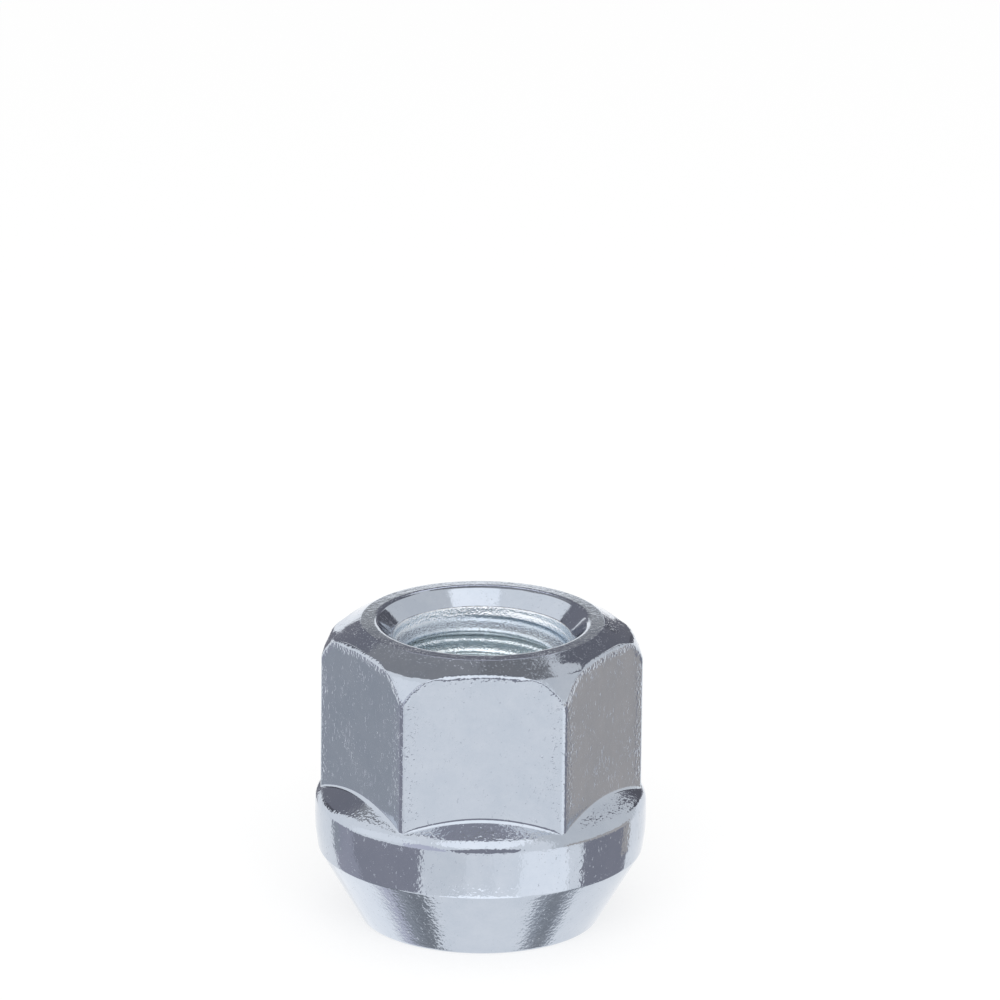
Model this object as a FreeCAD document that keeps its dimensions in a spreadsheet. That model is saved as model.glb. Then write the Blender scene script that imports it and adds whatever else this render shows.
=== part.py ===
import FreeCAD, Part

import Sketcher

import math
import os

# Open-ended bulge lug nut: a forged hexagon on a round bulge, with a conical seat below.
# The origin is the centre of the small end of the seat cone, +Z runs up the thread's axis.

NODE = "lug_nut"
BODY_PLANES = {"top": "XY_Plane", "front": "XZ_Plane"}
TINY = 1e-6
NEAR = 1e-3
SKETCH_ORIGIN = (-1, 1)
LEVEL_AXIS_INDEX = -1
VERTICAL_AXIS_INDEX = -2
HEX_CORNER_ANGLE = 30
HEX_STEP = 60

# Driving sizes, all in millimetres and degrees
SIZES = [
    ("hex_width", 19.0, "across the flats"),
    ("nut_height", 21.1, "from the base to the top land"),
    ("hex_edge_round", 0.5, "radius of the six upright edges"),
    ("hex_foot_height", 6.5, "where the hexagon starts, inside the bulge"),
    ("land_width", 1.05, "flat top land, from the countersink's mouth out to the crown"),
    ("crown_knee_reach", 0.7, "knee of the crown, outward from the flats"),
    ("crown_knee_drop", 1.04, "how far the knee lies below the land"),
    ("crown_cheek_reach", 1.2, "middle of the steep fall at the corners, outward from the flats"),
    ("crown_cheek_drop", 2.05, "how far that middle lies below the land"),
    ("crown_corner_drop", 2.9, "where the crown meets the sharp corner, below the land"),
    ("crown_edge_round", 0.5, "radius where the crown runs into the flats"),
    ("ledge_flat_height", 10.1, "where the sloped ledge meets the middle of a flat"),
    ("ledge_slope", 35.5, "fall of the ledge below level, degrees"),
    ("ledge_root_inset", 0.5, "ledge surface carried on inside the flats"),
    ("bulge_overhang", 0.28, "bulge beyond the sharp hexagon corner"),
    ("bulge_rim_round", 1.0, "radius between ledge and bulge"),
    ("shoulder_round", 1.5, "radius between bulge and seat cone"),
    ("seat_angle", 60.0, "full angle of the seat cone, degrees"),
    ("base_diameter", 16.2, "seat cone at the base plane"),
    ("base_edge_bevel", 0.25, "height and width of the small bevel round the base"),
    ("thread_bore_diameter", 10.376, "minor diameter of the M12 x 1.5 thread"),
    ("top_countersink_diameter", 14.4, "mouth of the top countersink"),
    ("base_countersink_diameter", 12.6, "mouth of the lower countersink"),
    ("countersink_angle", 90.0, "full angle of both countersinks, degrees"),
    ("rim_break", 0.1, "broken edge round the top countersink"),
    ("cut_clearance", 2.0, "how far a cutting shape passes outside the blank"),
]


def make_sheet(doc):
    """The table of driving sizes, one named cell each."""
    sheet = doc.addObject("Spreadsheet::Sheet", "Sizes")
    for row, (name, value, meaning) in enumerate(SIZES, start=1):
        sheet.set(f"A{row}", name)
        sheet.set(f"B{row}", str(value))
        sheet.setAlias(f"B{row}", name)
        sheet.set(f"C{row}", meaning)
    doc.recompute()
    return sheet


def origin_plane(body, role):
    """One of the body's own origin planes."""
    for feature in body.Origin.OriginFeatures:
        if feature.Role == role:
            return feature
    raise RuntimeError(f"no origin plane {role}")


def new_sketch(body, name, plane):
    """An empty sketch on an origin plane of the body."""
    sketch = body.newObject("Sketcher::SketchObject", name)
    sketch.AttachmentSupport = [(origin_plane(body, BODY_PLANES[plane]), "")]
    sketch.MapMode = "FlatFace"
    return sketch


def bind(sketch, constraint, name, expression):
    """A named constraint whose value comes from the sheet."""
    index = sketch.addConstraint(constraint)
    sketch.renameConstraint(index, name)
    sketch.setExpression(f"Constraints.{name}", expression)
    return index


def size_value(sheet, name):
    """The number in a named cell."""
    return float(sheet.get(name))


def outline_sketch(body, name, corners, plane="front"):
    """A closed outline, given anticlockwise by its sharp corners.

    Each corner is a dict with its label, its starting guess (at), the rules for
    its place (across, up) and, where it is rounded, the radius and its rule.
    """
    sketch = new_sketch(body, name, plane)
    arcs = [add_corner_arc(sketch, corners, index) for index in range(len(corners))]
    lines = [add_side(sketch, corners, index) for index in range(len(corners))]
    for index, corner in enumerate(corners):
        side_in = lines[index - 1]
        side_out = lines[index]
        if arcs[index] is None:
            join_sharp(sketch, corner, side_in, side_out)
        else:
            join_round(sketch, corner, side_in, side_out, arcs[index])
    return sketch


def heading(start, end):
    """Unit direction from one point to another."""
    across = end[0] - start[0]
    up = end[1] - start[1]
    length = math.hypot(across, up)
    return across / length, up / length


def corner_trim(corners, index):
    """Where a corner's rounding starts and ends, as first guesses."""
    here = corners[index]["at"]
    way_in = heading(corners[index - 1]["at"], here)
    way_out = heading(here, corners[(index + 1) % len(corners)]["at"])
    radius = corners[index].get("radius", 0)
    turn = math.acos(way_in[0] * way_out[0] + way_in[1] * way_out[1])
    trim = radius * math.tan(turn / 2)
    start = (here[0] - way_in[0] * trim, here[1] - way_in[1] * trim)
    end = (here[0] + way_out[0] * trim, here[1] + way_out[1] * trim)
    centre = (start[0] - way_in[1] * radius, start[1] + way_in[0] * radius)
    return start, end, centre


def add_corner_arc(sketch, corners, index):
    """The arc of a rounded corner, or None at a sharp one."""
    radius = corners[index].get("radius")
    if radius is None:
        return None
    start, end, centre = corner_trim(corners, index)
    first = math.atan2(start[1] - centre[1], start[0] - centre[0])
    last = math.atan2(end[1] - centre[1], end[0] - centre[0])
    middle = FreeCAD.Vector(centre[0], centre[1], 0)
    circle = Part.Circle(middle, FreeCAD.Vector(0, 0, 1), radius)
    return sketch.addGeometry(Part.ArcOfCircle(circle, first, last), False)


def add_side(sketch, corners, index):
    """The straight side that leaves a corner."""
    following = (index + 1) % len(corners)
    start = corner_trim(corners, index)[1]
    end = corner_trim(corners, following)[0]
    first = FreeCAD.Vector(start[0], start[1], 0)
    last = FreeCAD.Vector(end[0], end[1], 0)
    return sketch.addGeometry(Part.LineSegment(first, last), False)


def join_sharp(sketch, corner, side_in, side_out):
    """Two sides meet at a corner with a stated place."""
    sketch.addConstraint(Sketcher.Constraint("Coincident", side_in, 2, side_out, 1))
    place_point(sketch, corner, side_out)


def join_round(sketch, corner, side_in, side_out, arc):
    """Two sides run into an arc, and both aim at the sharp corner."""
    spot = FreeCAD.Vector(corner["at"][0], corner["at"][1], 0)
    apex = sketch.addGeometry(Part.Point(spot), True)
    place_point(sketch, corner, apex)
    sketch.addConstraint(Sketcher.Constraint("PointOnObject", apex, 1, side_in))
    sketch.addConstraint(Sketcher.Constraint("PointOnObject", apex, 1, side_out))
    sketch.addConstraint(Sketcher.Constraint("Tangent", side_in, 2, arc, 1))
    sketch.addConstraint(Sketcher.Constraint("Tangent", arc, 2, side_out, 1))
    rule = Sketcher.Constraint("Radius", arc, corner["radius"])
    bind(sketch, rule, f"{corner['label']}_radius", corner["radius_rule"])


def place_point(sketch, corner, item):
    """Fix the first point of an item across and up from the sketch's origin."""
    label = corner["label"]
    if corner["across"] is None:
        sketch.addConstraint(Sketcher.Constraint("PointOnObject", item, 1, VERTICAL_AXIS_INDEX))
    else:
        rule = Sketcher.Constraint("DistanceX", *SKETCH_ORIGIN, item, 1, corner["at"][0])
        bind(sketch, rule, f"{label}_across", corner["across"])
    if corner["up"] is None:
        sketch.addConstraint(Sketcher.Constraint("PointOnObject", item, 1, LEVEL_AXIS_INDEX))
    else:
        rule = Sketcher.Constraint("DistanceY", *SKETCH_ORIGIN, item, 1, corner["at"][1])
        bind(sketch, rule, f"{label}_up", corner["up"])


def circle_edges(shape, radius, height):
    """Names of the full circles of one radius at one height."""
    names = []
    for index, edge in enumerate(shape.Edges, start=1):
        curve = edge.Curve
        if not isinstance(curve, Part.Circle):
            continue
        same_radius = abs(curve.Radius - radius) < NEAR
        same_height = abs(curve.Center.z - height) < NEAR
        if same_radius and same_height:
            names.append(f"Edge{index}")
    return names


# The hexagon: a regular prism standing on a plane inside the bulge

def hexagon_corners(sheet):
    """The six sharp corners, with a flat facing -Y, each to be rounded."""
    reach = size_value(sheet, "hex_width") / 2 / math.cos(math.radians(HEX_CORNER_ANGLE))
    reach_rule = f"Sizes.hex_width / 2 / cos({HEX_CORNER_ANGLE} deg)"
    corners = []
    for step in range(360 // HEX_STEP):
        turn = HEX_STEP * step
        angle = math.radians(turn)
        corner = {
            "label": f"corner_{step}",
            "at": (reach * math.cos(angle), reach * math.sin(angle)),
            "across": f"{reach_rule} * cos({turn} deg)",
            "up": f"{reach_rule} * sin({turn} deg)",
            "radius": size_value(sheet, "hex_edge_round"),
            "radius_rule": "Sizes.hex_edge_round",
        }
        if turn % 180 == 0:
            corner["up"] = None
        corners.append(corner)
    return corners


def add_hexagon(doc, body, sheet):
    """The wrench hexagon with its rounded upright edges."""
    sketch = outline_sketch(body, "HexagonSketch", hexagon_corners(sheet), "top")
    sketch.setExpression("AttachmentOffset.Base.z", "Sizes.hex_foot_height")
    doc.recompute()
    pad = body.newObject("PartDesign::Pad", "Hexagon")
    pad.Profile = sketch
    pad.setExpression("Length", "Sizes.nut_height - Sizes.hex_foot_height")
    doc.recompute()


# The crown: the turned top that takes the corners off the hexagon

def crown_corners(sheet):
    """Outline of the ring that is turned away round the top."""
    half = size_value(sheet, "hex_width") / 2
    reach = half / math.cos(math.radians(HEX_CORNER_ANGLE))
    top = size_value(sheet, "nut_height")
    above = top + size_value(sheet, "cut_clearance")
    land = size_value(sheet, "top_countersink_diameter") / 2 + size_value(sheet, "land_width")
    knee = half + size_value(sheet, "crown_knee_reach")
    cheek = half + size_value(sheet, "crown_cheek_reach")
    land_rule = "Sizes.top_countersink_diameter / 2 + Sizes.land_width"
    reach_rule = f"Sizes.hex_width / 2 / cos({HEX_CORNER_ANGLE} deg)"
    above_rule = "Sizes.nut_height + Sizes.cut_clearance"
    return [
        {
            "label": "land",
            "at": (land, top),
            "across": land_rule,
            "up": "Sizes.nut_height",
        },
        {
            "label": "knee",
            "at": (knee, top - size_value(sheet, "crown_knee_drop")),
            "across": "Sizes.hex_width / 2 + Sizes.crown_knee_reach",
            "up": "Sizes.nut_height - Sizes.crown_knee_drop",
        },
        {
            "label": "cheek",
            "at": (cheek, top - size_value(sheet, "crown_cheek_drop")),
            "across": "Sizes.hex_width / 2 + Sizes.crown_cheek_reach",
            "up": "Sizes.nut_height - Sizes.crown_cheek_drop",
        },
        {
            "label": "corner",
            "at": (reach, top - size_value(sheet, "crown_corner_drop")),
            "across": reach_rule,
            "up": "Sizes.nut_height - Sizes.crown_corner_drop",
        },
        {
            "label": "outer",
            "at": (reach, above),
            "across": reach_rule,
            "up": above_rule,
        },
        {
            "label": "inner",
            "at": (land, above),
            "across": land_rule,
            "up": above_rule,
        },
    ]


def add_crown(doc, body, sheet):
    """Turn the crown and compare the volume, so that the cut is known to bite."""
    sketch = outline_sketch(body, "CrownSketch", crown_corners(sheet))
    turn_away(doc, body, "Crown", sketch)


def on_one_flat(points, half_width):
    """Whether the points all lie on the same flat of the hexagon."""
    for turn in range(0, 360, HEX_STEP):
        angle = math.radians(turn - 90)
        outward = FreeCAD.Vector(math.cos(angle), math.sin(angle), 0)
        if all(abs(point.dot(outward) - half_width) < NEAR for point in points):
            return True
    return False


def crown_edges(shape, half_width, lowest):
    """Names of the curved edges where the crown cuts the flats."""
    names = []
    for index, edge in enumerate(shape.Edges, start=1):
        middle = edge.valueAt((edge.FirstParameter + edge.LastParameter) / 2)
        ends = [vertex.Point for vertex in edge.Vertexes]
        curved = not isinstance(edge.Curve, Part.Line)
        if curved and middle.z > lowest and on_one_flat([middle, *ends], half_width):
            names.append(f"Edge{index}")
    return names


def round_crown_edges(doc, body, sheet):
    """Ease the arched upper edges of the six flats, down to the knee."""
    base = body.Tip
    half = size_value(sheet, "hex_width") / 2
    knee = size_value(sheet, "nut_height") - size_value(sheet, "crown_knee_drop")
    eased = body.newObject("PartDesign::Fillet", "CrownEdges")
    eased.Base = (base, crown_edges(base.Shape, half, knee))
    eased.setExpression("Radius", "Sizes.crown_edge_round")
    doc.recompute()


def turn_away(doc, body, name, sketch):
    """Cut a turned shape out of the solid so far."""
    doc.recompute()
    before = body.Tip.Shape.Volume
    groove = body.newObject("PartDesign::Groove", name)
    groove.Profile = sketch
    groove.ReferenceAxis = (sketch, ["V_Axis"])
    groove.Angle = 360
    doc.recompute()
    if groove.Shape.Volume >= before - TINY:
        raise RuntimeError(f"{name} cuts nothing")


# The flange: ledge, bulge and seat cone in one turned shape

def ledge_rule(across):
    """Height of the ledge's slope at a distance from the axis, as a rule."""
    fall = "tan(Sizes.ledge_slope * 1 deg)"
    return f"Sizes.ledge_flat_height - ({across} - Sizes.hex_width / 2) * {fall}"


def flange_corners(sheet):
    """Outline of the turned lower half, anticlockwise from the axis."""
    half = size_value(sheet, "hex_width") / 2
    reach = half / math.cos(math.radians(HEX_CORNER_ANGLE))
    bulge = reach + size_value(sheet, "bulge_overhang")
    base = size_value(sheet, "base_diameter") / 2
    bevel = size_value(sheet, "base_edge_bevel")
    seat_slope = math.tan(math.radians(size_value(sheet, "seat_angle") / 2))
    fall = math.tan(math.radians(size_value(sheet, "ledge_slope")))
    ledge = size_value(sheet, "ledge_flat_height")
    root = half - size_value(sheet, "ledge_root_inset")
    root_height = ledge + (half - root) * fall
    reach_rule = f"Sizes.hex_width / 2 / cos({HEX_CORNER_ANGLE} deg)"
    bulge_rule = f"({reach_rule} + Sizes.bulge_overhang)"
    root_rule = "(Sizes.hex_width / 2 - Sizes.ledge_root_inset)"
    base_rule = "Sizes.base_diameter / 2"
    seat_rule = "tan(Sizes.seat_angle / 2 * 1 deg)"
    return [
        {
            "label": "axis_low",
            "at": (0, 0),
            "across": None,
            "up": None,
        },
        {
            "label": "base",
            "at": (base - bevel, 0),
            "across": f"{base_rule} - Sizes.base_edge_bevel",
            "up": None,
        },
        {
            "label": "base_side",
            "at": (base + bevel * seat_slope, bevel),
            "across": f"{base_rule} + Sizes.base_edge_bevel * {seat_rule}",
            "up": "Sizes.base_edge_bevel",
        },
        {
            "label": "shoulder",
            "at": (bulge, (bulge - base) / seat_slope),
            "across": bulge_rule,
            "up": f"({bulge_rule} - {base_rule}) / {seat_rule}",
            "radius": size_value(sheet, "shoulder_round"),
            "radius_rule": "Sizes.shoulder_round",
        },
        {
            "label": "rim",
            "at": (bulge, ledge - (bulge - half) * fall),
            "across": bulge_rule,
            "up": ledge_rule(bulge_rule),
            "radius": size_value(sheet, "bulge_rim_round"),
            "radius_rule": "Sizes.bulge_rim_round",
        },
        {
            "label": "root",
            "at": (root, root_height),
            "across": root_rule,
            "up": ledge_rule(root_rule),
        },
        {
            "label": "axis_high",
            "at": (0, root_height),
            "across": None,
            "up": ledge_rule(root_rule),
        },
    ]


def add_flange(doc, body, sheet):
    """Turn the flange with its rounded rim, shoulder and base."""
    sketch = outline_sketch(body, "FlangeSketch", flange_corners(sheet))
    doc.recompute()
    flange = body.newObject("PartDesign::Revolution", "Flange")
    flange.Profile = sketch
    flange.ReferenceAxis = (sketch, ["V_Axis"])
    flange.Angle = 360
    doc.recompute()


# The bore: thread core right through, with a countersink at each end

def top_countersink_corners(sheet):
    """Outline of the upper countersink, with its tip on the axis."""
    slope = math.tan(math.radians(size_value(sheet, "countersink_angle") / 2))
    mouth = size_value(sheet, "top_countersink_diameter") / 2
    top = size_value(sheet, "nut_height")
    mouth_rule = "Sizes.top_countersink_diameter / 2"
    slope_rule = "tan(Sizes.countersink_angle / 2 * 1 deg)"
    return [
        {
            "label": "tip",
            "at": (0, top - mouth / slope),
            "across": None,
            "up": f"Sizes.nut_height - {mouth_rule} / {slope_rule}",
        },
        {
            "label": "mouth",
            "at": (mouth, top),
            "across": mouth_rule,
            "up": "Sizes.nut_height",
        },
        {
            "label": "centre",
            "at": (0, top),
            "across": None,
            "up": "Sizes.nut_height",
        },
    ]


def base_countersink_corners(sheet):
    """Outline of the lower countersink, with its tip on the axis."""
    slope = math.tan(math.radians(size_value(sheet, "countersink_angle") / 2))
    mouth = size_value(sheet, "base_countersink_diameter") / 2
    mouth_rule = "Sizes.base_countersink_diameter / 2"
    slope_rule = "tan(Sizes.countersink_angle / 2 * 1 deg)"
    return [
        {
            "label": "centre",
            "at": (0, 0),
            "across": None,
            "up": None,
        },
        {
            "label": "mouth",
            "at": (mouth, 0),
            "across": mouth_rule,
            "up": None,
        },
        {
            "label": "tip",
            "at": (0, mouth / slope),
            "across": None,
            "up": f"{mouth_rule} / {slope_rule}",
        },
    ]


def add_bore(doc, body, sheet):
    """Cut the thread core through the whole nut."""
    before = body.Tip.Shape.Volume
    sketch = new_sketch(body, "BoreSketch", "top")
    radius = size_value(sheet, "thread_bore_diameter") / 2
    centre = FreeCAD.Vector(0, 0, 0)
    upward = FreeCAD.Vector(0, 0, 1)
    ring = sketch.addGeometry(Part.Circle(centre, upward, radius), False)
    sketch.addConstraint(Sketcher.Constraint("Coincident", ring, 3, *SKETCH_ORIGIN))
    rule = Sketcher.Constraint("Radius", ring, radius)
    bind(sketch, rule, "bore_radius", "Sizes.thread_bore_diameter / 2")
    doc.recompute()
    bore = body.newObject("PartDesign::Pocket", "ThreadBore")
    bore.Profile = sketch
    bore.Type = "ThroughAll"
    bore.Reversed = True
    doc.recompute()
    if bore.Shape.Volume >= before - TINY:
        raise RuntimeError("the bore cuts nothing")


def add_countersinks(doc, body, sheet):
    """Turn a cone out of each end of the bore."""
    upper = outline_sketch(body, "TopCountersinkSketch", top_countersink_corners(sheet))
    turn_away(doc, body, "TopCountersink", upper)
    lower = outline_sketch(body, "BaseCountersinkSketch", base_countersink_corners(sheet))
    turn_away(doc, body, "BaseCountersink", lower)


def break_rim(doc, body, sheet):
    """Break the sharp edge where the top countersink meets the land."""
    mouth = size_value(sheet, "top_countersink_diameter") / 2
    top = size_value(sheet, "nut_height")
    base = body.Tip
    rim = body.newObject("PartDesign::Chamfer", "CountersinkRim")
    rim.Base = (base, circle_edges(base.Shape, mouth, top))
    rim.setExpression("Size", "Sizes.rim_break")
    doc.recompute()


def check_document(doc, body):
    """Stop if any object failed or the solid is not sound."""
    for item in doc.Objects:
        for state in ("Invalid", "Error"):
            if state in item.State:
                raise RuntimeError(f"{item.Name} is {state}")
    shape = body.Shape
    if shape.isNull() or not shape.isValid():
        raise RuntimeError("the nut's shape is not valid")
    if len(shape.Solids) != 1:
        raise RuntimeError("the nut is not one solid")


def main():
    """Make the nut and write its shape."""
    doc = FreeCAD.newDocument("LugNut")
    sheet = make_sheet(doc)
    body = doc.addObject("PartDesign::Body", "LugNut")
    body.Label = NODE
    body.Placement = FreeCAD.Placement()
    add_hexagon(doc, body, sheet)
    add_crown(doc, body, sheet)
    round_crown_edges(doc, body, sheet)
    add_flange(doc, body, sheet)
    add_bore(doc, body, sheet)
    add_countersinks(doc, body, sheet)
    break_rim(doc, body, sheet)
    doc.recompute()
    check_document(doc, body)
    os.makedirs("parts", exist_ok=True)
    body.Shape.exportStep(f"parts/{body.Label}.step")
    print(f"{body.Label}: volume {body.Shape.Volume:.1f} mm3, faces {len(body.Shape.Faces)}")


main()
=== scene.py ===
import math

import bpy
import numpy as np
from mathutils import Matrix, Vector

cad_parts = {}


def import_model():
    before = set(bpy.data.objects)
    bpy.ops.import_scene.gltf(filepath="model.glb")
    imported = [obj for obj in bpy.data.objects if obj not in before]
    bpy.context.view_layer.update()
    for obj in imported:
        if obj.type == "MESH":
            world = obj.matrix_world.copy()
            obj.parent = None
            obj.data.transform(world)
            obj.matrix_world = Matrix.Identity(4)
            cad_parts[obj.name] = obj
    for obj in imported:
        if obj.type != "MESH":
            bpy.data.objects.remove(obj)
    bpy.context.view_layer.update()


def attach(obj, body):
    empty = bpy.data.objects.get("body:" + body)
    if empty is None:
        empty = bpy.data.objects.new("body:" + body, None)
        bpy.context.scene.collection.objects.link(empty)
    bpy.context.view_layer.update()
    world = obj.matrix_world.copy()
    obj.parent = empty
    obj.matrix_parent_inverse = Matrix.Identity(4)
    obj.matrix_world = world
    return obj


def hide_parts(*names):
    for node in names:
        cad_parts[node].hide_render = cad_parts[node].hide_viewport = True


# Looks of an open-ended bulge lug nut in bright zinc plated steel.
# Lengths are in millimetres unless a name says otherwise, and angles are in degrees.
# The front of the nut is -Y, where one flat faces the camera. +Z runs up the thread's axis.
# A reach is a distance from that axis.

MM = 0.001
NODE = "lug_nut"
BODY = "root"
SLOT = "zinc_plated_steel"
WORN_EDGE = "worn_edge"
FULL_TURN = 360
RIGHT_ANGLE = 90
MATRIX_SIZE = 4
FACE_SIZES = (3, 4)

# Hexagon. Its columns are counted over half a flat and over half a rounded edge.
FLAT_REACH = 9.5
FLAT_COUNT = 6
FLAT_ANGLE = FULL_TURN / FLAT_COUNT
FRONT_ANGLE = -90
HEX_EDGE_ROUND = 0.5
FLAT_COLUMNS = 17
EDGE_COLUMNS = 4
FLAT_ROWS = 8

# Short turned relief between the upper countersink and the thread
RELIEF_BOTTOM = 19.45
RELIEF_REACH = 5.95
RELIEF_WALL_SLOPE = 0.18
RELIEF_FOOT_SLOPE = 2.0

# Mouth and crown, from the thread outward: reach, height and radius of each corner.
# The mouth's rows end at the land's reach, where the crown's begin.
NUT_HEIGHT = 21.1
THREAD_TOP = 19.98
MOUTH_REACH = 7.2
RIM_ROUND = 0.55
TOP_LINE = [
    (MOUTH_REACH - NUT_HEIGHT + THREAD_TOP, THREAD_TOP, 0),
    (MOUTH_REACH, NUT_HEIGHT, RIM_ROUND),
    (8.25, 21.07, 0.2),
    (9.25, 20.48, 3.0),
    (10.2, 20.06, 0.9),
    (10.7, 19.05, 2.0),
    (11.05, 17.95, 0),
]
LAND_REACH = 8.1
MOUTH_ROWS = 22
CROWN_ROWS = 24

# The crown's edge on the flats. Its rounding starts this far before a flat's middle and a corner.
CROWN_EDGE_MIDDLE = 0.30
CROWN_EDGE_CORNER = 0.22
CROWN_EDGE_ROWS = 8

# Seat, bulge and ledge, from the thread outward and up: reach, height and radius of each corner.
# Above the band's top the rows rise towards the flats.
THREAD_BOTTOM = 0.25
LOWER_MOUTH_REACH = 6.3
LOW_LINE = [
    (LOWER_MOUTH_REACH - THREAD_BOTTOM, THREAD_BOTTOM, 0),
    (LOWER_MOUTH_REACH, 0, 0.08),
    (8.1, 0, 0.4),
    (11.05, 5.12, 0.4),
    (11.23, 6.4, 4.0),
    (11.26, 7.4, 10.0),
    (11.24, 8.859, 1.0),
    (9.0, 10.457, 0),
]
BAND_TOP = 8.2
LOW_ROWS = 42
LEDGE_ROWS = 14

# The flats' foot. Its rounding starts this far before the flats.
FOOT_TRIM = 0.2
FOOT_ROWS = 5

# Turned lines. Rows are closer together where a line turns, as a radian of turning counts as this length.
TURN_WEIGHT = 2.5
ARC_STEPS = 24
LINE_STEPS = 40
HEADING_STEP = 0.01

# Thread: M12 x 1.5, right-handed.
# Each step of its profile is a place along the pitch and a share of the depth.
PITCH = 1.5
THREAD_MINOR = 5.188
THREAD_DEPTH = 0.74
THREAD_SHIFT = -0.774
SPARE_TURNS = 2
THREAD_STEPS = [
    (0.00, 0.03),
    (0.04, 0.00),
    (0.09, 0.00),
    (0.13, 0.02),
    (0.17, 0.06),
    (0.21, 0.13),
    (0.25, 0.23),
    (0.40, 0.70),
    (0.45, 0.84),
    (0.51, 0.94),
    (0.58, 1.00),
    (0.66, 1.00),
    (0.71, 0.95),
    (0.76, 0.83),
    (0.93, 0.25),
]

# Camera. The aim stands on the thread's axis, and falls on the aim pixel of the picture.
AIM_HEIGHT = 10
CAMERA_DISTANCE = 700
CAMERA_ELEVATION = 19.866
CAMERA_AZIMUTH = -0.8
CAMERA_ROLL = 0.6
CAMERA_FAR_METRES = 10
SENSOR_WIDTH = 36.0
FOCAL_PIXELS = 10297
IMAGE_PIXELS = 1000
AIM_PIXEL_X = 480.9
AIM_PIXEL_Y = 774.15

# Tints of the studio
WHITE = (1.0, 1.0, 1.0)
COOL = (1.0, 0.98, 1.10)
WARM = (1.08, 1.0, 0.94)
TEAL = (0.97, 1.0, 1.06)
PLAIN = (1.05, 1.03, 1.05)

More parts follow.
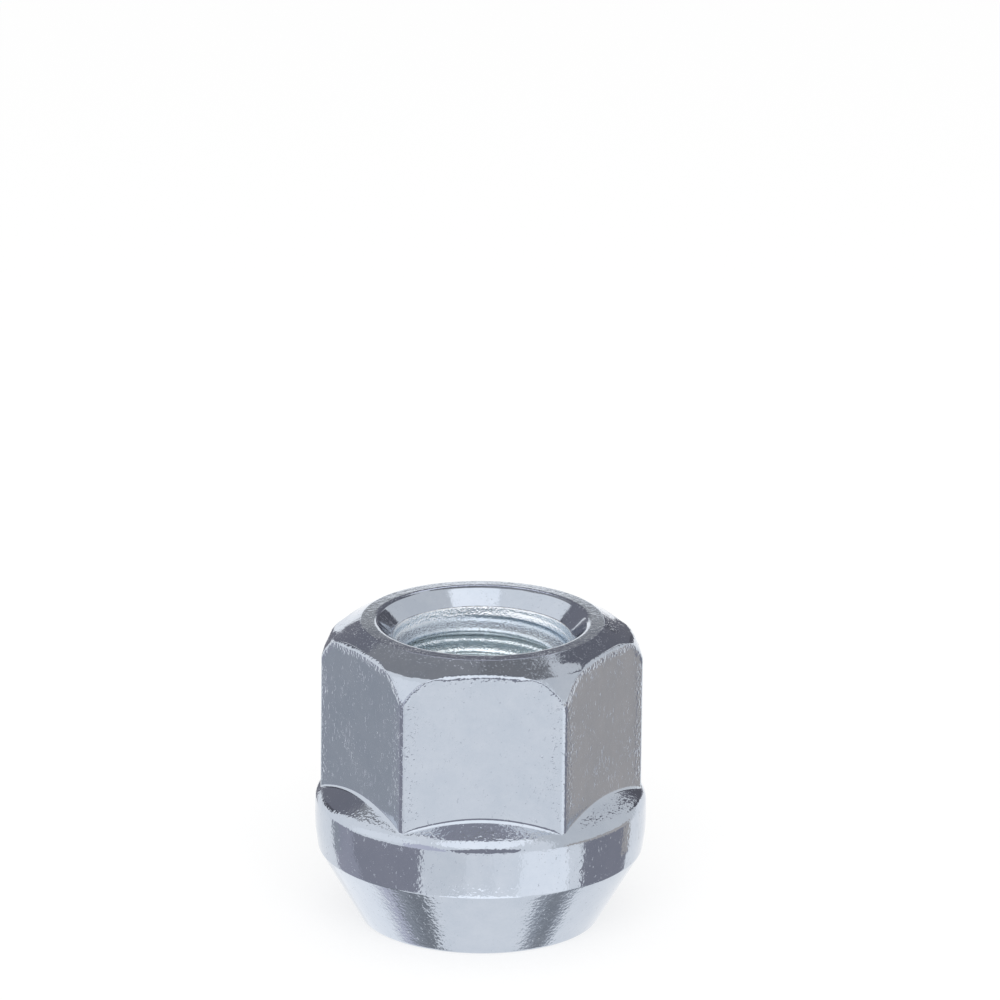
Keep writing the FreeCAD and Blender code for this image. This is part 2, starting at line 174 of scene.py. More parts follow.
# Cards. A card is a patch of the surroundings that shows in the metal. Each row gives its name,
# its shade (1 is white), its tint and the directions of its corners. A direction is an azimuth,
# from the nut's front towards the right, and an elevation. An earlier card hides a later one.
CARDS = [
    ("left_flat", 0.435, TEAL, [(-125, -15.5), (-116, -15.5), (-116, -24), (-125, -24)]),
    ("right_flat", 0.475, WARM, [(117, -15.5), (125.5, -15.5), (125.5, -24), (117, -24)]),
    ("front_top", 1.3, WHITE, [
        (-35, 60), (-11, 61), (11, 61), (62, 61), (64, 76), (22, 77), (-22, 77), (-38, 74),
    ]),
    ("ceiling_front", 0.36, COOL, [
        (-104, 69), (-86, 72), (-60, 76), (-20, 83), (20, 84),
        (60, 80), (90, 74), (106, 70), (106, 90), (-104, 90),
    ]),
    ("front_high", 1.12, WHITE, [(-38, 60), (50, 60), (66, 74), (66, 84), (-40, 84)]),
    ("front_glow", 1.3, WHITE, [
        (-8, 19), (14, 20), (26, 30), (40, 50), (48, 60), (-38, 60), (-36, 40), (-26, 26),
    ]),
    ("front_horizon", 0.32, COOL, [
        (-18, -13), (24, -13), (28, 0), (22, 12), (12, 19), (-2, 18), (-14, 10), (-22, 0),
    ]),
    ("back_blob", 1.1, WHITE, [
        (163, -16), (192.5, -16), (192.5, 0), (198, 2.5), (198, 4), (193, 17.4),
        (167, 17.4), (167, 14), (169.5, 9), (169.5, 1), (163, -1),
    ]),
    ("crown_end_left", 0.235, COOL, [
        (192.5, -15), (206, -15), (206, 9), (198, 8), (198, 2.5), (192.5, 0),
    ]),
    ("crown_end_right", 0.19, COOL, [
        (160, -1), (169.5, 1), (169.5, 9), (167, 14), (163, 16), (160, 14),
    ]),
    ("back_middle", 0.38, WHITE, [(167, 17), (193, 17), (193, 21.5), (167, 21.5)]),
    ("back_strip", 1.1, COOL, [(163, 42), (197, 42), (199, 50), (190, 56), (170, 56), (159, 51)]),
    ("back_dark", 0.21, COOL, [(163, 18), (197, 18), (198, 42), (162, 42)]),
    ("ceiling_left", 0.32, PLAIN, [
        (180, 56), (197, 56), (197, 39), (229, 39), (240, 57), (269, 58),
        (256, 70), (256, 90), (180, 90),
    ]),
    ("left_eye", 0.135, COOL, [
        (213, 12), (222, 5), (233, 8), (234, 17), (232, 31), (224, 22), (216, 14),
    ]),
    ("back_left_dark", 0.235, COOL, [
        (194, 3), (200, 8), (208, 11), (214, 9), (222, 5), (233, 8),
        (234, 17), (232, 31), (230, 40), (197, 40), (197, 20),
    ]),
    ("right_eye", 0.135, COOL, [
        (134, 16), (150, 4), (160, 2), (160, 14), (150, 16), (143, 21), (134, 22),
    ]),
    ("back_right_dark", 0.19, COOL, [
        (154, -3), (162, -4), (165, 6), (163, 20), (163, 42), (155, 44), (150, 46.5), (147, 48),
        (142, 50.5), (137, 53.5), (134, 56), (128, 56.5), (128, 52), (125, 48), (133, 41),
        (141, 30), (148, 19),
    ]),
    ("ceiling_right", 0.25, PLAIN, [
        (180, 57), (158, 57), (151, 57.8), (143, 60), (137, 61.3), (130, 61.5), (125, 63),
        (118, 66), (106, 70), (106, 90), (180, 90),
    ]),
    ("right_horizon", 0.52, WARM, [(58, -15), (122, -15), (120, -2), (60, -4)]),
    ("right_sky", 0.78, WHITE, [
        (48, -15), (125, -15), (132, 4), (146, 18), (163, 30),
        (163, 57), (143, 61), (118, 67), (90, 75), (56, 60),
    ]),
    ("left_low_back", 0.43, COOL, [
        (-100, -11), (-122, -11), (-123.5, -20), (-127, -29), (-126, -42), (-100, -42),
    ]),
    ("left_low", 0.34, COOL, [
        (-41, -14), (-43, -25), (-46, -36), (-56, -42), (-101, -42), (-101, -14),
    ]),
    ("left_cone_edge", 0.66, COOL, [
        (-112, -52), (-125, -46), (-121, -52), (-120, -66), (-112, -70),
    ]),
    ("left_cone_back", 0.39, TEAL, [
        (-99, -42), (-126, -40), (-121, -50), (-113, -52), (-113, -66), (-100, -77), (-99, -66),
    ]),
    ("left_cone", 0.29, TEAL, [
        (-70, -42), (-100, -42), (-100, -66), (-101, -77), (-82, -80), (-83, -66), (-79, -54),
    ]),
    ("left_front_sky", 1.1, WHITE, [
        (-98, -8), (-56, 2), (-48, 22), (-50, 38), (-78, 42), (-96, 20),
    ]),
    ("left_horizon", 0.72, COOL, [
        (-54, -14), (-24, -14), (-24, 0), (-34, 16), (-44, 20), (-52, 8),
    ]),
    ("right_low", 0.30, COOL, [
        (75, -15), (76, -27), (84, -38), (100, -44), (124, -44), (129, -29), (126, -20), (123, -15),
    ]),
    ("right_cone_core", 0.32, TEAL, [
        (96, -44), (110, -44), (109, -56), (109, -66), (103, -73), (97, -73),
    ]),
    ("right_cone", 0.46, TEAL, [
        (78, -42), (115, -42), (115, -53), (115, -62), (104, -73), (87, -77), (87, -66), (84, -56),
    ]),
    ("right_back_low", 1.02, WHITE, [
        (113, -42), (124, -44), (160, -30), (166, -42), (130, -62), (116, -62),
    ]),
    ("left_back_low", 1.14, WHITE, [(236, -46), (200, -30), (194, -42), (230, -62)]),
    ("right_front_low", 1.2, WHITE, [(28, -16), (62, -16), (72, -42), (28, -42)]),
    ("shoulder_glint", 1.5, WHITE, [(-24, -39.5), (0, -38.6), (30, -39.5), (44, -60), (-44, -60)]),
    ("front_low_left", 0.93, WHITE, [(-42, -14), (-10, -14), (-14, -44), (-42, -44)]),
    ("front_low_right", 1.05, WHITE, [(6, -14), (34, -14), (34, -44), (12, -44)]),
]
CARD_CENTRE_HEIGHT = 10
CARD_NEAREST = 600
CARD_SPACING = 12
CARD_EDGE_STEPS = 10
CARD_RINGS = 6

# Floor, lamp and world. The floor's glow is for the camera only.
FLOOR_HALF_SIZE = 1500
FLOOR_LIT_SHARE = 0.4
FLOOR_GLOW = 0.655
SOFTBOX_CENTRE = (0, -420, 330)
SOFTBOX_SIZE = (520, 380)
SOFTBOX_RADIANCE = 1.9
WORLD_PLAIN_STRENGTH = 0.75

# Colour and polish of the plating. A scale is in features per millimetre.
ZINC_COOL = (0.52, 0.575, 0.66, 1)
ZINC_PALE = (0.57, 0.62, 0.70, 1)
CLOUD_SCALE = 0.35
CLOUD_DETAIL = 6.0
CLOUD_ROUGHNESS = 0.75
CLOUD_RANGE = (0.35, 0.65)
ZINC_ROUGHNESS = (0.04, 0.12)
POLISH_SCALE = 1.8
POLISH_DETAIL = 4.0
POLISH_RANGE = (0.3, 0.7)

# Colour of the thread, all painted light: paler than the outer zinc to lift the shade in the bore,
# palest at its rim as a painted highlight, darker just below, and pale again deeper down
THREAD_RIM_PAINTED_HIGHLIGHT = (0.88, 0.92, 0.96, 1)
THREAD_TOP_PAINTED_LIGHT = (0.58, 0.66, 0.75, 1)
THREAD_DEEP_PAINTED_LIGHT = (0.90, 0.97, 1.0, 1)
THREAD_ROUGHNESS = 0.2

# Where the kinds of surface begin. Each pair is the reach or height where the kind
# is not yet there, and the one where it is there in full. THREAD_REACH runs the other way,
# and CROWN_EDGE is a pair of values of the worn edge's attribute. THREAD_RIM and THREAD_DEEP
# are where the thread's painted light changes.
THREAD_REACH = (6.06, 6.10)
THREAD_RIM = (19.2, 19.5)
THREAD_DEEP = (18.9, 17.6)
HEXAGON_FOOT = (9.3, 9.9)
HEXAGON_EDGE_REACH = (10.2, 10.6)
HEXAGON_EDGE_TOP = (18.6, 18.0)
CROWN_EDGE = (0.5, 1.0)
LAND_FOOT = (20.2, 20.5)
LAND_INSIDE = (7.1, 7.2)
LAND_OUTSIDE = (9.4, 8.8)
LEDGE_HEIGHT = (8.5, 8.9)

# Waves and fine grain of the plating
PLAIN_DETAIL = 2.0
PLAIN_ROUGHNESS = 0.5
WARP_SCALE = 0.16
WARP_DETAIL = 1.0
WARP_DEPTH = 0.03
PEEL_SCALE = 0.9
PEEL_DEPTH = 0.004
GRAIN_SCALE = 4.2
GRAIN_DETAIL = 1.0
FLAT_GRAIN_DEPTH = 0.003
TURNED_GRAIN_DEPTH = 0.0095
LEDGE_GRAIN_DEPTH = 0.018
LAND_GRAIN_DEPTH = 0.007
HEXAGON_EDGE_GRAIN_DEPTH = 0.02
CROWN_EDGE_GRAIN_DEPTH = 0.05
THREAD_GRAIN_SCALE = 7.0
THREAD_GRAIN_DEPTH = 0.05

# Wear. A mark begins where its noise passes the first number of its range, and is full at the second.
# The wear values and the patches are added to that noise, to bring out more marks or fewer.
# UPRIGHT draws marks out along the thread's axis.
PATCH_SCALE = 0.45
PATCH_RANGE = (0.5, 0.7)
PATCH_WEAR = (-0.04, 0.05)
LAND_WEAR = 0.09
EDGE_WEAR = 0.07
EDGE_WEAR_REACH = (9.7, 10.7)
BAND_WEAR = 0.035
BAND_WEAR_HEIGHT = (9.4, 9.0)
UPRIGHT = (1, 1, 0.4)
SPECK_SCALE = 6.5
SPECK_ROUGHNESS = 0.6
SPECK_RANGE = (0.695, 0.77)
SPECK_DEPTH = 0.012
SCRATCH_SCALE = 5.0
SCRATCH_DETAIL = 3.0
SCRATCH_ROUGHNESS = 0.6
SCRATCH_RANGE = (0.70, 0.78)
SCRATCH_DEPTH = 0.012
BRUSH_SCALE = 4.5
BRUSH_DETAIL = 3.0
BRUSH_ROUGHNESS = 0.65
BRUSH_RANGE = (0.60, 0.74)
BRUSH_DEPTH = 0.005

# A place times this is its part across the thread's axis
LEVEL_PART = (1, 1, 0)

# Sockets of the Mix node that carry colours
MIX_FIRST = 6
MIX_SECOND = 7
MIX_RESULT = 2


# Turned lines

def unit(vector):
    """The vector's direction."""
    return vector / np.linalg.norm(vector)


def arc_points(before, corner, after, radius):
    """Points of the arc that rounds one corner of a line."""
    entry = unit(corner - before)
    leave = unit(after - corner)
    turning = entry[0] * leave[1] - entry[1] * leave[0]
    turn = math.acos(np.clip(entry @ leave, -1, 1))
    start = corner - entry * radius * math.tan(turn / 2)
    inward = np.array([-entry[1], entry[0]]) * math.copysign(1, turning)
    angles = np.linspace(0, turn, ARC_STEPS)[:, None]
    return start + radius * (np.sin(angles) * entry + (1 - np.cos(angles)) * inward)


def rounded_line(corners):
    """A dense line through rounded corners, with the measure by which rows are spread along it."""
    places = [np.array(corner[:2], float) for corner in corners]
    parts = [places[0][None]]
    for index in range(1, len(corners) - 1):
        radius = corners[index][2]
        parts.append(arc_points(places[index - 1], places[index], places[index + 1], radius))
    parts.append(places[-1][None])
    sharp = np.concatenate(parts)
    pieces = [
        np.linspace(here, there, LINE_STEPS, endpoint=False)
        for here, there in zip(sharp[:-1], sharp[1:])
    ]
    line = np.concatenate(pieces + [sharp[-1:]])
    steps = np.diff(line, axis=0)
    heading = np.unwrap(np.arctan2(steps[:, 1], steps[:, 0]))
    turning = np.abs(np.diff(heading, prepend=heading[0]))
    measure = np.concatenate([[0], np.cumsum(np.hypot(*steps.T) + TURN_WEIGHT * turning)])
    return line, measure


def walk(line, measure, place):
    """Points of a line at given places along its measure."""
    reach = np.interp(place, measure, line[:, 0])
    height = np.interp(place, measure, line[:, 1])
    return np.stack([reach, height], axis=-1)


def shares(rows):
    """Even shares from 0 to 1, without the first."""
    return np.linspace(0, 1, rows + 1)[1:]


# The hexagon round the axis

def column_angles():
    """Directions of all upright columns, closer together on the six rounded edges."""
    edge_centre = (FLAT_REACH - HEX_EDGE_ROUND) * math.tan(math.radians(FLAT_ANGLE / 2))
    edge_start = math.degrees(math.atan2(edge_centre, FLAT_REACH))
    flat = np.linspace(0, edge_start, FLAT_COLUMNS + 1)
    edge = np.linspace(edge_start, FLAT_ANGLE / 2, EDGE_COLUMNS + 1)
    half = np.concatenate([flat, edge[1:]])
    sector = np.concatenate([-half[:0:-1], half[:-1]])
    middles = FRONT_ANGLE + FLAT_ANGLE * np.arange(FLAT_COUNT)
    return sector, (middles[:, None] + sector).ravel()


def hexagon_reach(sector):
    """Reach of the hexagon, by angle from the middle of a flat."""
    centre_reach = (FLAT_REACH - HEX_EDGE_ROUND) / math.cos(math.radians(FLAT_ANGLE / 2))
    to_corner = np.radians(FLAT_ANGLE / 2 - np.abs(sector))
    across = centre_reach * np.sin(to_corner)
    on_edge = across < HEX_EDGE_ROUND * math.sin(math.radians(FLAT_ANGLE / 2))
    flat = FLAT_REACH / np.cos(np.radians(sector))
    round_depth = np.sqrt(np.clip(HEX_EDGE_ROUND**2 - across**2, 0, None))
    return np.where(on_edge, centre_reach * np.cos(to_corner) + round_depth, flat)


def bend(start, heading, reach, upward, rows):
    """A smooth bend from a line's end onto the hexagon's upright wall, one for each column."""
    length = (reach - start[:, 0]) / heading[:, 0]
    corner = start + heading * length[:, None]
    end = corner.copy()
    end[:, 1] += np.abs(length) * upward
    share = shares(rows)[:, None, None]
    return (1 - share) ** 2 * start + 2 * share * (1 - share) * corner + share**2 * end


def end_of_line(line, measure, reach, trim, outward):
    """Where a turned line stops short of the hexagon, and its heading there, for each column."""
    order = 1 if outward else -1
    meets = np.interp(reach, line[::order, 0], measure[::order])
    stop = meets - trim
    start = walk(line, measure, stop)
    ahead = walk(line, measure, stop + HEADING_STEP) - start
    return stop, start, ahead / np.linalg.norm(ahead, axis=1)[:, None]


# The nut's outside. Rows run round the axis, and each point of a row is a reach and a height.

def repeated(row_points, columns):
    """Rows that are the same in every column."""
    return np.repeat(row_points[:, None], columns, axis=1)


def lower_rows(reach):
    """The seat and bulge, the ledge, and the bend at the foot of the flats."""
    line, measure = rounded_line(LOW_LINE)
    band = np.argmax(line[:, 1] > BAND_TOP)
    band_place = measure[band]
    turned = walk(line, measure, np.linspace(0, band_place, LOW_ROWS + 1))
    stop, start, heading = end_of_line(line[band:], measure[band:], reach, FOOT_TRIM, outward=False)
    ledge_places = band_place + shares(LEDGE_ROWS)[:, None] * (stop - band_place)
    ledge = walk(line, measure, ledge_places)
    foot = bend(start, heading, reach, 1, FOOT_ROWS)
    return repeated(turned, len(reach)), ledge, foot


def upper_rows(reach, corner_share):
    """The crown's rounded edge and the crown, both from inside out, and the mouth, from outside in."""
    line, measure = rounded_line(TOP_LINE)
    land = np.argmax(line[:, 0] > LAND_REACH)
    land_place = measure[land]
    trim = CROWN_EDGE_MIDDLE + (CROWN_EDGE_CORNER - CROWN_EDGE_MIDDLE) * corner_share
    stop, start, heading = end_of_line(line[land:], measure[land:], reach, trim, outward=True)
    crown_share = np.linspace(0, 1, CROWN_ROWS + 1)[:, None]
    crown = walk(line, measure, land_place + crown_share * (stop - land_place))
    edge = bend(start, heading, reach, -1, CROWN_EDGE_ROWS)
    mouth = walk(line, measure, np.linspace(land_place, 0, MOUTH_ROWS + 1)[1:])
    return edge, crown, repeated(mouth, len(reach))


def outer_rows(sector):
    """All rows from the thread's lower end, round the outside, to its upper end.

    Also a value for each row that is 1 on the crown's rounded edge.
    """
    reach = np.tile(hexagon_reach(sector), FLAT_COUNT)
    corner_share = np.tile(np.abs(sector) / (FLAT_ANGLE / 2), FLAT_COUNT)
    turned, ledge, foot = lower_rows(reach)
    edge, crown, mouth = upper_rows(reach, corner_share)
    wall_share = np.linspace(0, 1, FLAT_ROWS + 2)[1:-1, None, None]
    wall = foot[-1] + wall_share * (edge[-1] - foot[-1])
    below = np.concatenate([turned, ledge, foot, wall])
    above = np.concatenate([crown[::-1], mouth])
    worn = np.concatenate([np.zeros(len(below)), np.ones(len(edge)), np.zeros(len(above))])
    return np.concatenate([below, edge[::-1], above]), worn


# The thread

def mouth_reach_at(height):
    """Reach of the widest of the two countersinks and the relief under the upper one."""
    upper = MOUTH_REACH - (NUT_HEIGHT - height)
    lower = LOWER_MOUTH_REACH - height
    above = height - RELIEF_BOTTOM
    slope = np.where(above > 0, RELIEF_WALL_SLOPE, RELIEF_FOOT_SLOPE)
    relief = RELIEF_REACH + above * slope
    return np.maximum(np.maximum(upper, lower), relief)


def round_axis(reach, angles, height):
    """Points at given reaches, directions and heights."""
    turned = np.radians(angles)
    return np.stack([reach * np.cos(turned), reach * np.sin(turned), height], axis=-1)


def thread_rows(angles, lower_ring, upper_ring, first_free):
    """The thread's points and, for each place of its sheared grid, the number of the point there."""
    turn_share = (angles - angles[0]) / FULL_TURN
    turns = math.ceil((THREAD_TOP - THREAD_BOTTOM) / PITCH) + SPARE_TURNS
    places = np.array([place for place, _ in THREAD_STEPS])
    depths = np.array([depth for _, depth in THREAD_STEPS])
    turn_starts = np.arange(turns)[:, None] - SPARE_TURNS / 2
    heights = THREAD_BOTTOM + THREAD_SHIFT + PITCH * (turn_starts + places).ravel()
    reaches = THREAD_MINOR + THREAD_DEPTH * np.tile(depths, turns)
    height = heights[:, None] + PITCH * turn_share
    reach = np.maximum(repeated(reaches, len(angles)), mouth_reach_at(height))

    inside = (height > THREAD_BOTTOM) & (height < THREAD_TOP)
    numbers = np.where(height <= THREAD_BOTTOM, lower_ring, upper_ring)
    numbers[inside] = first_free + np.arange(inside.sum())
    steps = len(THREAD_STEPS)
    closing = np.append(numbers[steps:, 0], np.full(steps, upper_ring[0]))
    numbers = np.hstack([numbers, closing[:, None]])
    column = np.nonzero(inside)[1]
    return round_axis(reach[inside], angles[column], height[inside]), numbers


# The nut's mesh

def closed_ring(numbers):
    """A grid of point numbers whose last column is joined to its first."""
    return np.hstack([numbers, numbers[:, :1]])


def grid_faces(numbers):
    """Faces of a grid of point numbers, without the ones that have no area."""
    sides = [numbers[:-1, :-1], numbers[:-1, 1:], numbers[1:, 1:], numbers[1:, :-1]]
    kept = []
    for face in np.stack(sides, axis=-1).reshape(-1, len(sides)).tolist():
        corners = [point for point, following in zip(face, face[1:] + face[:1]) if point != following]
        if len(corners) > 2 and len(set(corners)) == len(corners):
            kept.append(corners)
    return kept


def smooth_normals(points, faces):
    """Directions of the surface at the points, where large faces count for more."""
    normals = np.zeros_like(points)
    for size in FACE_SIZES:
        group = np.array([face for face in faces if len(face) == size])
        if len(group):
            first = points[group[:, 2]] - points[group[:, 0]]
            second = points[group[:, -1]] - points[group[:, 1]]
            area = np.cross(first, second)
            for corner in range(size):
                np.add.at(normals, group[:, corner], area)
    return normals / np.linalg.norm(normals, axis=1)[:, None]


def make_nut():
    """The whole nut as one closed mesh that stands for the solid."""
    sector, angles = column_angles()
    rows, worn_rows = outer_rows(sector)
    count = len(angles)
    outer_points = round_axis(rows[..., 0], angles, rows[..., 1]).reshape(-1, 3)
    numbers = np.arange(len(outer_points)).reshape(-1, count)
    thread_points, thread_numbers = thread_rows(angles, numbers[0], numbers[-1], len(outer_points))
    points = np.concatenate([outer_points, thread_points])
    faces = grid_faces(closed_ring(numbers)) + grid_faces(thread_numbers[:, ::-1])

    mesh = bpy.data.meshes.new(NODE + "_visual")
    mesh.from_pydata((points * MM).tolist(), [], faces)
    worn = mesh.attributes.new(WORN_EDGE, "FLOAT", "POINT")
    worn_points = np.append(np.repeat(worn_rows, count), np.zeros(len(thread_points)))
    worn.data.foreach_set("value", worn_points)
    mesh.shade_smooth()
    mesh.normals_split_custom_set_from_vertices(smooth_normals(points, faces).tolist())
    nut = bpy.data.objects.new("nut", mesh)
    bpy.context.scene.collection.objects.link(nut)
    return nut


# Node trees

class Nodes:
    """Small helper for building a node tree."""

    def __init__(self, owner):
        owner.use_nodes = True
        self.tree = owner.node_tree
        self.tree.nodes.clear()

    def feed(self, socket, value):
        """Link a value that comes from a node, or set a plain one."""
        if isinstance(value, bpy.types.NodeSocket):
            self.tree.links.new(value, socket)
        else:
            socket.default_value = value

    def add(self, kind, settings=None, inputs=None):
        """A new node with its settings and its inputs, which are given by name or by place."""
        node = self.tree.nodes.new(kind)
        for name, value in (settings or {}).items():
            setattr(node, name, value)
        for name, value in (inputs or {}).items():
            self.feed(node.inputs[name], value)
        return node


def noise(nodes, vector, scale, detail=PLAIN_DETAIL, roughness=PLAIN_ROUGHNESS):
    """Grey noise at a scale in features per millimetre."""
    settings = {"Vector": vector, "Scale": scale, "Detail": detail, "Roughness": roughness}
    return nodes.add("ShaderNodeTexNoise", inputs=settings).outputs["Fac"]


def stretched(nodes, vector, scale):
    """The coordinates, scaled apart along each axis."""
    node = nodes.add("ShaderNodeMapping", inputs={"Vector": vector, "Scale": scale})
    return node.outputs["Vector"]


def mapped(nodes, value, old, new):
    """A value taken from an old range to a new one, and kept inside it."""
    settings = {
        "Value": value,
        "From Min": old[0],
        "From Max": old[1],
        "To Min": new[0],
        "To Max": new[1],
    }
    return nodes.add("ShaderNodeMapRange", inputs=settings).outputs["Result"]


def rising(nodes, value, span, most=1.0):
    """0 up to the span's first number, and the most from its second number on."""
    return mapped(nodes, value, span, (0, most))


def combined(nodes, operation, first, second):
    """Two values put together by one operation. Each is a socket or a number."""
    node = nodes.add("ShaderNodeMath", {"operation": operation}, {0: first, 1: second})
    return node.outputs[0]


def product(nodes, first, second):
    """The product of two values."""
    return combined(nodes, "MULTIPLY", first, second)


def total(nodes, first, second):
    """The sum of two values."""
    return combined(nodes, "ADD", first, second)


def larger(nodes, first, second):
    """The larger of two values."""
    return combined(nodes, "MAXIMUM", first, second)


def blended(nodes, share, first, second):
    """A colour between two colours."""
    inputs = {0: share, MIX_FIRST: first, MIX_SECOND: second}
    return nodes.add("ShaderNodeMix", {"data_type": "RGBA"}, inputs).outputs[MIX_RESULT]


def bumped(nodes, height, depth, normal=None):
    """Normals of a relief of a given depth, on top of others."""
    inputs = {"Height": height, "Distance": depth * MM, "Strength": 1.0}
    if normal is not None:
        inputs["Normal"] = normal
    return nodes.add("ShaderNodeBump", inputs=inputs).outputs["Normal"]


def reach_of(nodes, place):
    """Distance of a place from the thread's axis."""
    level = nodes.add("ShaderNodeVectorMath", {"operation": "MULTIPLY"}, {0: place, 1: LEVEL_PART})
    length = nodes.add("ShaderNodeVectorMath", {"operation": "LENGTH"}, {0: level.outputs[0]})
    return length.outputs["Value"]


# Plating

def land_share(nodes, reach, height):
    """1 on the crown's land and the slope next to it, and 0 elsewhere."""
    outside_mouth = rising(nodes, reach, LAND_INSIDE)
    inside_crown = rising(nodes, reach, LAND_OUTSIDE)
    high = rising(nodes, height, LAND_FOOT)
    return product(nodes, high, product(nodes, outside_mouth, inside_crown))


def edge_grain_depth(nodes, on_hexagon, reach, height):
    """Depth of the grain on the hexagon's upright edges and on the crown's edge."""
    upright = rising(nodes, reach, HEXAGON_EDGE_REACH, HEXAGON_EDGE_GRAIN_DEPTH)
    below_crown = rising(nodes, height, HEXAGON_EDGE_TOP)
    upright = product(nodes, upright, product(nodes, on_hexagon, below_crown))
    worn = nodes.add("ShaderNodeAttribute", {"attribute_name": WORN_EDGE}).outputs["Fac"]
    return larger(nodes, upright, rising(nodes, worn, CROWN_EDGE, CROWN_EDGE_GRAIN_DEPTH))


def grain_height(nodes, place, in_thread, on_hexagon, reach, height):
    """Height of the fine grain in millimetres.

    It is least on the flats, more on turned parts and edges, and finer and deep in the thread.
    """
    turned = mapped(nodes, height, LEDGE_HEIGHT, (TURNED_GRAIN_DEPTH, LEDGE_GRAIN_DEPTH))
    outside = mapped(nodes, on_hexagon, (0, 1), (turned, FLAT_GRAIN_DEPTH))
    depth = larger(nodes, outside, edge_grain_depth(nodes, on_hexagon, reach, height))
    on_land = product(nodes, land_share(nodes, reach, height), LAND_GRAIN_DEPTH)
    depth = larger(nodes, depth, on_land)
    coarse = product(nodes, noise(nodes, place, GRAIN_SCALE, GRAIN_DETAIL), depth)
    thread_depth = product(nodes, in_thread, THREAD_GRAIN_DEPTH)
    fine = product(nodes, noise(nodes, place, THREAD_GRAIN_SCALE, GRAIN_DETAIL), thread_depth)
    return total(nodes, coarse, fine)


def speck_share(nodes, place, patches, reach, height):
    """Specks, which are fewer in some patches and most on the land."""
    field = noise(nodes, place, SPECK_SCALE, roughness=SPECK_ROUGHNESS)
    field = total(nodes, field, product(nodes, land_share(nodes, reach, height), LAND_WEAR))
    return rising(nodes, total(nodes, field, patches), SPECK_RANGE)


def scratch_share(nodes, place, on_hexagon, reach, height):
    """Upright scratches, which crowd towards the hexagon's edges and on the lower half."""
    worn = product(nodes, rising(nodes, reach, EDGE_WEAR_REACH, EDGE_WEAR), on_hexagon)
    worn = product(nodes, worn, rising(nodes, height, HEXAGON_EDGE_TOP))
    worn = total(nodes, worn, rising(nodes, height, BAND_WEAR_HEIGHT, BAND_WEAR))
    upright = stretched(nodes, place, UPRIGHT)
    field = noise(nodes, upright, SCRATCH_SCALE, SCRATCH_DETAIL, SCRATCH_ROUGHNESS)
    return rising(nodes, total(nodes, field, worn), SCRATCH_RANGE)


def brush_share(nodes, place, patches, on_hexagon):
    """Faint upright brushing of the flats, in patches."""
    upright = stretched(nodes, place, UPRIGHT)
    field = noise(nodes, upright, BRUSH_SCALE, BRUSH_DETAIL, BRUSH_ROUGHNESS)
    return product(nodes, rising(nodes, total(nodes, field, patches), BRUSH_RANGE), on_hexagon)


def wear_normal(nodes, place, on_hexagon, reach, height, normal):
    """Specks, scratches and brushing, on top of other relief."""
    patches = mapped(nodes, noise(nodes, place, PATCH_SCALE), PATCH_RANGE, PATCH_WEAR)
    specks = speck_share(nodes, place, patches, reach, height)
    scratches = scratch_share(nodes, place, on_hexagon, reach, height)
    brushing = brush_share(nodes, place, patches, on_hexagon)
    normal = bumped(nodes, specks, -SPECK_DEPTH, normal)
    normal = bumped(nodes, scratches, -SCRATCH_DEPTH, normal)
    return bumped(nodes, brushing, -BRUSH_DEPTH, normal)


def zinc_and_painted_thread_colour(nodes, place, in_thread, height):
    """Faint clouds of two greys outside, and in the thread, greys by height that are painted light."""
    clouds = noise(nodes, place, CLOUD_SCALE, CLOUD_DETAIL, CLOUD_ROUGHNESS)
    outside = blended(nodes, rising(nodes, clouds, CLOUD_RANGE), ZINC_COOL, ZINC_PALE)
    # Painted light in the thread: palest at its rim, darker just below, and paler deeper down to lift the
    # bore's shade.
    deep = rising(nodes, height, THREAD_DEEP)
    inside = blended(nodes, deep, THREAD_TOP_PAINTED_LIGHT, THREAD_DEEP_PAINTED_LIGHT)
    inside = blended(nodes, rising(nodes, height, THREAD_RIM), inside, THREAD_RIM_PAINTED_HIGHLIGHT)
    return blended(nodes, in_thread, outside, inside)


def zinc_material():
    """Bright zinc plate: soft waves, fine grain, specks, scratches and a duller thread, its greys painted
    light.
    """
    material = bpy.data.materials.new(SLOT)
    nodes = Nodes(material)
    place = nodes.add("ShaderNodeTexCoord").outputs["Object"]
    place = stretched(nodes, place, (1 / MM, 1 / MM, 1 / MM))
    height = nodes.add("ShaderNodeSeparateXYZ", inputs={"Vector": place}).outputs["Z"]
    reach = reach_of(nodes, place)
    in_thread = mapped(nodes, reach, THREAD_REACH, (1, 0))
    on_hexagon = rising(nodes, height, HEXAGON_FOOT)

    grain = grain_height(nodes, place, in_thread, on_hexagon, reach, height)
    normal = bumped(nodes, noise(nodes, place, WARP_SCALE, WARP_DETAIL), WARP_DEPTH)
    normal = bumped(nodes, noise(nodes, place, PEEL_SCALE), PEEL_DEPTH, normal)
    normal = bumped(nodes, grain, 1.0, normal)
    normal = wear_normal(nodes, place, on_hexagon, reach, height, normal)

    polish = noise(nodes, place, POLISH_SCALE, POLISH_DETAIL)
    polish = mapped(nodes, polish, POLISH_RANGE, ZINC_ROUGHNESS)
    inputs = {
        "Metallic": 1.0,
        "Base Color": zinc_and_painted_thread_colour(nodes, place, in_thread, height),
        "Roughness": larger(nodes, polish, product(nodes, in_thread, THREAD_ROUGHNESS)),
        "Normal": normal,
    }
    shader = nodes.add("ShaderNodeBsdfPrincipled", inputs=inputs)
    nodes.add("ShaderNodeOutputMaterial", inputs={"Surface": shader.outputs["BSDF"]})
    return material


# Studio materials

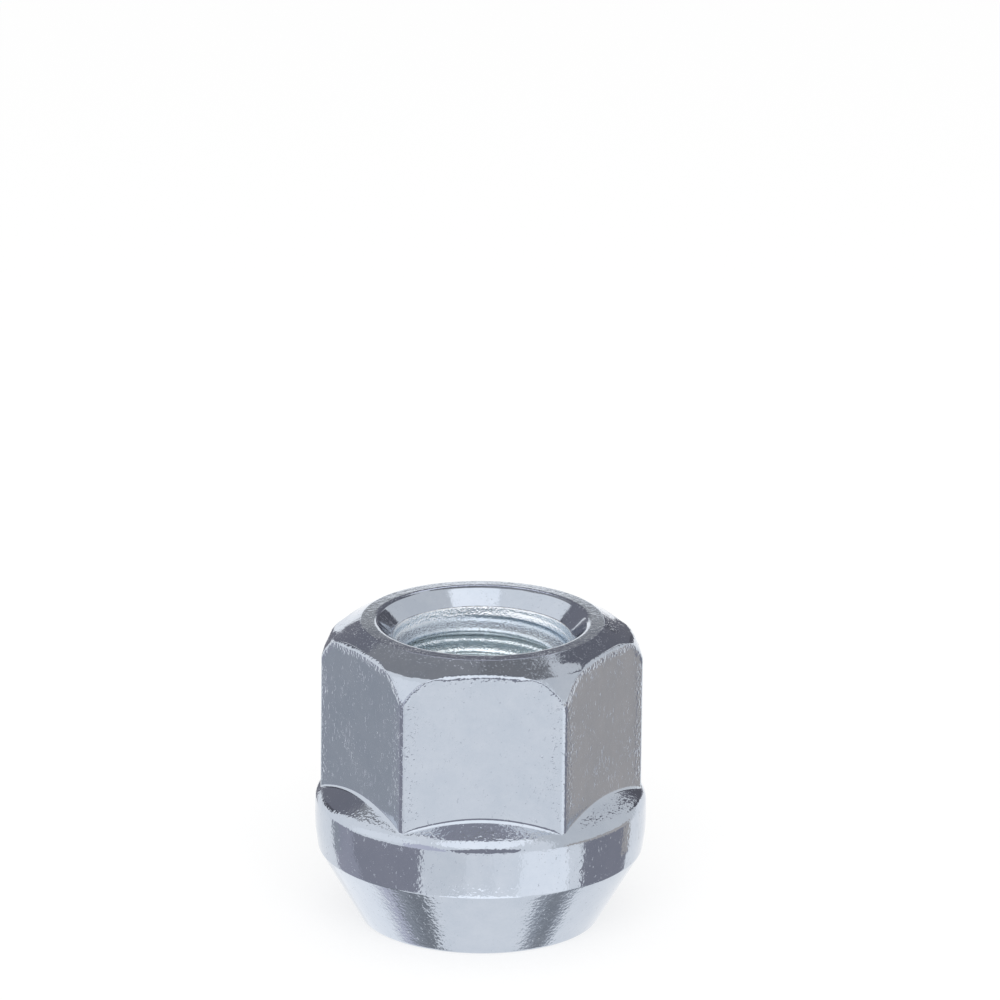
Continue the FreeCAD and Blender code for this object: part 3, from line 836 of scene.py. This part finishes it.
def floor_material():
    """White floor that keeps the nut's shadow."""
    material = bpy.data.materials.new("floor_white")
    nodes = Nodes(material)
    path = nodes.add("ShaderNodeLightPath")
    grey = (FLOOR_LIT_SHARE, FLOOR_LIT_SHARE, FLOOR_LIT_SHARE, 1)
    lit = nodes.add("ShaderNodeBsdfDiffuse", inputs={"Color": grey})
    strength = rising(nodes, path.outputs["Is Camera Ray"], (0, 1), FLOOR_GLOW)
    glow = nodes.add("ShaderNodeEmission", inputs={"Strength": strength})
    both = nodes.add("ShaderNodeAddShader", inputs={0: lit.outputs[0], 1: glow.outputs[0]})
    nodes.add("ShaderNodeOutputMaterial", inputs={"Surface": both.outputs[0]})
    return material


def card_material(name, shade, tint):
    """An even glow that isn't sampled as a lamp."""
    material = bpy.data.materials.new(name)
    nodes = Nodes(material)
    glow = nodes.add("ShaderNodeEmission", inputs={"Color": (*tint, 1), "Strength": shade})
    nodes.add("ShaderNodeOutputMaterial", inputs={"Surface": glow.outputs[0]})
    material.cycles.emission_sampling = "NONE"
    return material


# Studio

def stage_object(name, points, faces, material):
    """A mesh that belongs to the studio, not to the nut."""
    mesh = bpy.data.meshes.new(name)
    mesh.from_pydata([[value * MM for value in point] for point in points], [], faces)
    mesh.materials.append(material)
    thing = bpy.data.objects.new(name, mesh)
    bpy.context.scene.collection.objects.link(thing)
    return thing


def direction(azimuth, elevation):
    """Unit direction from the nut, by azimuth from its front and elevation."""
    level = math.cos(math.radians(elevation))
    return (
        level * math.sin(math.radians(azimuth)),
        -level * math.cos(math.radians(azimuth)),
        math.sin(math.radians(elevation)),
    )


def rim_directions(corners):
    """Directions along a card's rim, evenly from corner to corner."""
    rim = []
    for here, following in zip(corners, corners[1:] + corners[:1]):
        for step in range(CARD_EDGE_STEPS):
            share = step / CARD_EDGE_STEPS
            azimuth = here[0] + share * (following[0] - here[0])
            elevation = here[1] + share * (following[1] - here[1])
            rim.append(direction(azimuth, elevation))
    return np.array(rim)


def add_card(order, name, shade, tint, corners):
    """A card bent round the nut, made of rings from its rim in to its middle.

    It is seen in metal only, and casts no shadow.
    """
    rim = rim_directions(corners)
    middle = unit(rim.mean(axis=0))
    inward = np.linspace(0, 1, CARD_RINGS, endpoint=False)[:, None, None]
    rings = (1 - inward) * rim + inward * middle
    rings /= np.linalg.norm(rings, axis=2)[:, :, None]
    distance = CARD_NEAREST + order * CARD_SPACING
    points = np.vstack([rings.reshape(-1, 3), middle]) * distance
    points[:, 2] += CARD_CENTRE_HEIGHT
    numbers = closed_ring(np.arange(len(points) - 1).reshape(CARD_RINGS, -1))
    inner = numbers[-1].tolist()
    tip = [(here, following, len(points) - 1) for here, following in zip(inner, inner[1:])]
    faces = grid_faces(numbers) + tip
    card = stage_object(name, points.tolist(), faces, card_material(name, shade, tint))
    card.visible_camera = False
    card.visible_diffuse = False
    card.visible_shadow = False


def add_floor():
    """The floor under the nut. The metal mirrors the cards and the world in its place."""
    half = FLOOR_HALF_SIZE
    corners = [(-half, -half, 0), (half, -half, 0), (half, half, 0), (-half, half, 0)]
    floor = stage_object("floor", corners, [(0, 1, 2, 3)], floor_material())
    floor.visible_glossy = False


def add_softbox():
    """One large soft lamp in front of the nut and above it."""
    lamp = bpy.data.lights.new("softbox", "AREA")
    lamp.shape = "RECTANGLE"
    lamp.size = SOFTBOX_SIZE[0] * MM
    lamp.size_y = SOFTBOX_SIZE[1] * MM
    lamp.energy = SOFTBOX_RADIANCE * math.pi * lamp.size * lamp.size_y
    thing = bpy.data.objects.new("softbox", lamp)
    place = Vector(SOFTBOX_CENTRE) * MM
    aim = Vector((0, 0, AIM_HEIGHT)) * MM - place
    thing.location = place
    thing.rotation_euler = aim.to_track_quat("-Z", "Y").to_euler()
    thing.visible_glossy = False
    bpy.context.scene.collection.objects.link(thing)


def set_world():
    """White surroundings to the camera and in the metal, and a plain level for lit surfaces."""
    world = bpy.data.worlds.new("studio")
    bpy.context.scene.world = world
    nodes = Nodes(world)
    path = nodes.add("ShaderNodeLightPath").outputs
    mirrored = larger(nodes, path["Is Glossy Ray"], path["Is Transmission Ray"])
    seen = larger(nodes, path["Is Camera Ray"], mirrored)
    strength = mapped(nodes, seen, (0, 1), (WORLD_PLAIN_STRENGTH, 1.0))
    white = nodes.add("ShaderNodeBackground", inputs={"Color": (1, 1, 1, 1), "Strength": strength})
    nodes.add("ShaderNodeOutputWorld", inputs={"Surface": white.outputs[0]})


def rotation(angle, axis):
    """A rotation about one axis, by an angle in radians."""
    return Matrix.Rotation(angle, MATRIX_SIZE, axis)


def add_camera():
    """A long lens at the photograph's angle, turned so that the nut stands low in the frame."""
    data = bpy.data.cameras.new("camera")
    data.sensor_width = SENSOR_WIDTH
    data.lens = FOCAL_PIXELS * SENSOR_WIDTH / IMAGE_PIXELS
    data.clip_end = CAMERA_FAR_METRES
    pan = math.atan2(AIM_PIXEL_X - IMAGE_PIXELS / 2, FOCAL_PIXELS)
    tilt = math.atan2(AIM_PIXEL_Y - IMAGE_PIXELS / 2, FOCAL_PIXELS)
    camera = bpy.data.objects.new("camera", data)
    camera.matrix_world = (
        Matrix.Translation((0, 0, AIM_HEIGHT * MM))
        @ rotation(math.radians(CAMERA_AZIMUTH), "Z")
        @ rotation(math.radians(RIGHT_ANGLE - CAMERA_ELEVATION), "X")
        @ Matrix.Translation((0, 0, CAMERA_DISTANCE * MM))
        @ rotation(math.radians(CAMERA_ROLL), "Z")
        @ rotation(pan, "Y")
        @ rotation(tilt, "X")
    )
    bpy.context.scene.collection.objects.link(camera)
    bpy.context.scene.camera = camera


def main():
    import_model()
    nut = make_nut()
    nut.data.materials.append(zinc_material())
    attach(nut, BODY)
    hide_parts(NODE)
    add_floor()
    for order, card in enumerate(CARDS):
        add_card(order, *card)
    add_softbox()
    set_world()
    add_camera()
    bpy.context.scene.view_settings.view_transform = "Standard"


main()
